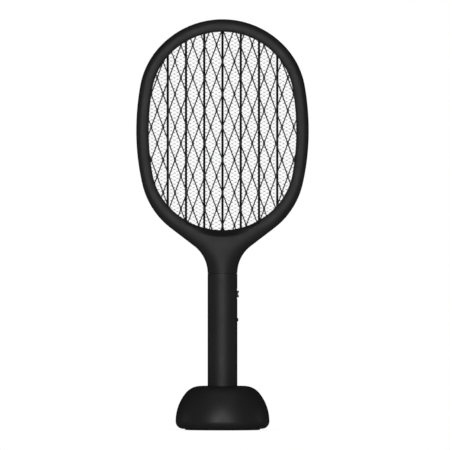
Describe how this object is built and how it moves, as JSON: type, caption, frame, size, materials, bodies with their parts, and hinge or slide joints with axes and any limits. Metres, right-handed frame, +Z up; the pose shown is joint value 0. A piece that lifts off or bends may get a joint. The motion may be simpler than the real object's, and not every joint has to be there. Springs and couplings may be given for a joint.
{
  "type": "electric fly swatter",
  "caption": "Racket-shaped electric fly swatter with an oval mesh head and a round handle, standing in a weighted round stand.",
  "frame": {"origin": "centre of the stand's underside, on the surface it stands on", "axes": "+Z up along the handle, the front of the racket faces -Y, the slide switch and trigger button are on the +X side of the handle"},
  "size_m": [0.207, 0.1126, 0.4927],
  "materials": {
    "dark_plastic": "dark charcoal moulded plastic with a fine satin grain",
    "control_plastic": "black moulded plastic, slightly smoother than the shells",
    "rib_plastic": "black moulded plastic",
    "guard_net_steel": "expanded steel net with a dark coating",
    "centre_net_steel": "bright fine steel net",
    "smoked_window": "smoked translucent plastic",
    "rubber_black": "soft black rubber",
    "screw_steel": "zinc plated steel",
    "ballast_iron": "plain steel disc",
    "cell_wrap": "shrink wrap over a steel can",
    "inner_plastic": "grey moulded plastic",
    "component_black": "moulded black epoxy",
    "board_laminate": "green glass-fibre laminate",
    "ferrite": "sintered ferrite",
    "winding_tape": "yellow insulating tape over copper wire",
    "socket_metal": "nickel plated shell",
    "lamp_lens": "clear to milky moulded plastic",
    "lead_insulation": "soft red insulation"
  },
  "bodies": {
    "stand": {"stand_dome": "dark_plastic", "stand_bottom_plate": "dark_plastic", "stand_ballast": "ballast_iron", "foot_ring": "rubber_black", "socket_pad": "rubber_black", "stand_screws": "screw_steel"},
    "racket": {"head_front_frame": "dark_plastic", "head_rear_frame": "dark_plastic", "handle_front_shell": "dark_plastic", "handle_rear_shell": "dark_plastic", "handle_end_cap": "dark_plastic", "front_rib_frame": "rib_plastic", "rear_rib_frame": "rib_plastic", "front_guard_net": "guard_net_steel", "rear_guard_net": "guard_net_steel", "net_jumper": "guard_net_steel", "centre_net": "centre_net_steel", "crescent_window": "smoked_window", "head_screws": "screw_steel", "neck_screws": "screw_steel", "handle_screws": "screw_steel", "board_screws": "screw_steel", "battery_spring_contact": "screw_steel", "battery_plate_contact": "screw_steel", "battery_cell": "cell_wrap", "battery_carrier": "inner_plastic", "power_switch_body": "inner_plastic", "trigger_switch_body": "inner_plastic", "film_capacitor": "inner_plastic", "multiplier_diodes": "component_black", "driver_transistor": "component_black", "control_chip": "component_black", "circuit_board": "board_laminate", "lamp_strip_board": "board_laminate", "transformer_core": "ferrite", "transformer_winding": "winding_tape", "charging_socket": "socket_metal", "charge_lamp": "lamp_lens", "lamp_strip_lamps": "lamp_lens", "charge_light_pipe": "lamp_lens", "battery_leads": "lead_insulation", "high_voltage_leads": "lead_insulation", "lamp_leads": "lead_insulation"},
    "power_switch": {"power_switch_knob": "control_plastic", "power_switch_slider": "inner_plastic"},
    "trigger": {"trigger_button": "control_plastic"}
  },
  "joints": [
    {"name": "racket_lift", "type": "slide", "parent": "stand", "child": "racket", "axis": [0, 0, 1], "range_m": [0, 0.06]},
    {"name": "power_switch_slide", "type": "slide", "parent": "racket", "child": "power_switch", "axis": [0, 0, 1], "range_m": [-0.002, 0.002]},
    {"name": "trigger_press", "type": "slide", "parent": "racket", "child": "trigger", "axis": [-1, 0, 0], "range_m": [0, 0.001], "stiffness_N_per_m": 500, "springref_m": -0.001}
  ]
}
